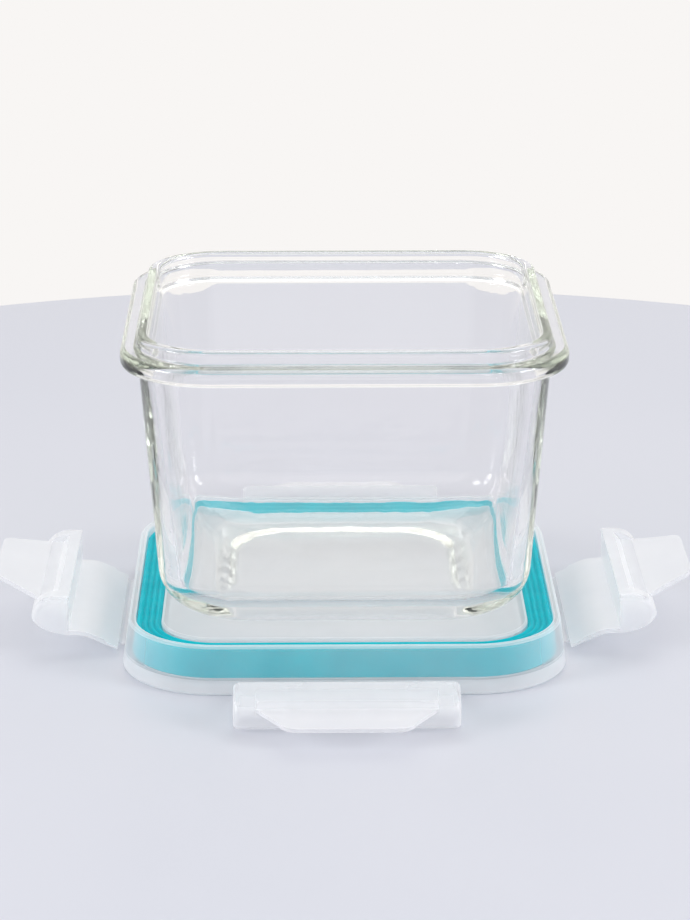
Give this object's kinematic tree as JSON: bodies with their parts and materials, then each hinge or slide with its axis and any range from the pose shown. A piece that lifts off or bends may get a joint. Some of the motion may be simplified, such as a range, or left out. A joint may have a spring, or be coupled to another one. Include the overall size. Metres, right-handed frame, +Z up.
{
  "type": "food container",
  "caption": "Square pressed-glass food container standing open on its upturned plastic lid, with a ridged silicone seal and snap flaps on living hinges.",
  "frame": {"origin": "on the table under the middle of the lid", "axes": "+Z up out of the open bowl, -Y towards the front flap, +X towards the right flap"},
  "size_m": [0.2102, 0.2174, 0.1011],
  "materials": {
    "clear_glass": "fire-polished clear pressed glass, faint green tint in thick edges",
    "milky_plastic": "translucent milky polypropylene with a satin moulded surface",
    "teal_silicone": "soft teal silicone, slightly glossy"
  },
  "bodies": {
    "lid": {"lid": "milky_plastic", "lid_seal": "teal_silicone", "right_hinge": "milky_plastic", "rear_hinge": "milky_plastic", "left_hinge": "milky_plastic", "front_hinge": "milky_plastic"},
    "bowl": {"glass_bowl": "clear_glass"},
    "right_flap": {"right_flap": "milky_plastic"},
    "rear_flap": {"rear_flap": "milky_plastic"},
    "left_flap": {"left_flap": "milky_plastic"},
    "front_flap": {"front_flap": "milky_plastic"}
  },
  "joints": [
    {"name": "bowl_lift", "type": "slide", "parent": "lid", "child": "bowl", "axis": [0, 0, 1], "range_m": [0, 0.1]},
    {"name": "right_flap_hinge", "type": "hinge", "parent": "lid", "child": "right_flap", "pos_m": [0.06642, 0, 0.0019], "axis": [0, -1, 0], "range_deg": [-17, 61], "deforming": ["right_hinge"]},
    {"name": "rear_flap_hinge", "type": "hinge", "parent": "lid", "child": "rear_flap", "pos_m": [0, 0.06642, 0.0019], "axis": [1, 0, 0], "range_deg": [0, 79.5], "deforming": ["rear_hinge"]},
    {"name": "left_flap_hinge", "type": "hinge", "parent": "lid", "child": "left_flap", "pos_m": [-0.06642, 0, 0.0019], "axis": [0, 1, 0], "range_deg": [-17, 61], "deforming": ["left_hinge"]},
    {"name": "front_flap_hinge", "type": "hinge", "parent": "lid", "child": "front_flap", "pos_m": [0, -0.06642, 0.0019], "axis": [-1, 0, 0], "range_deg": [0, 79.5], "deforming": ["front_hinge"]}
  ]
}
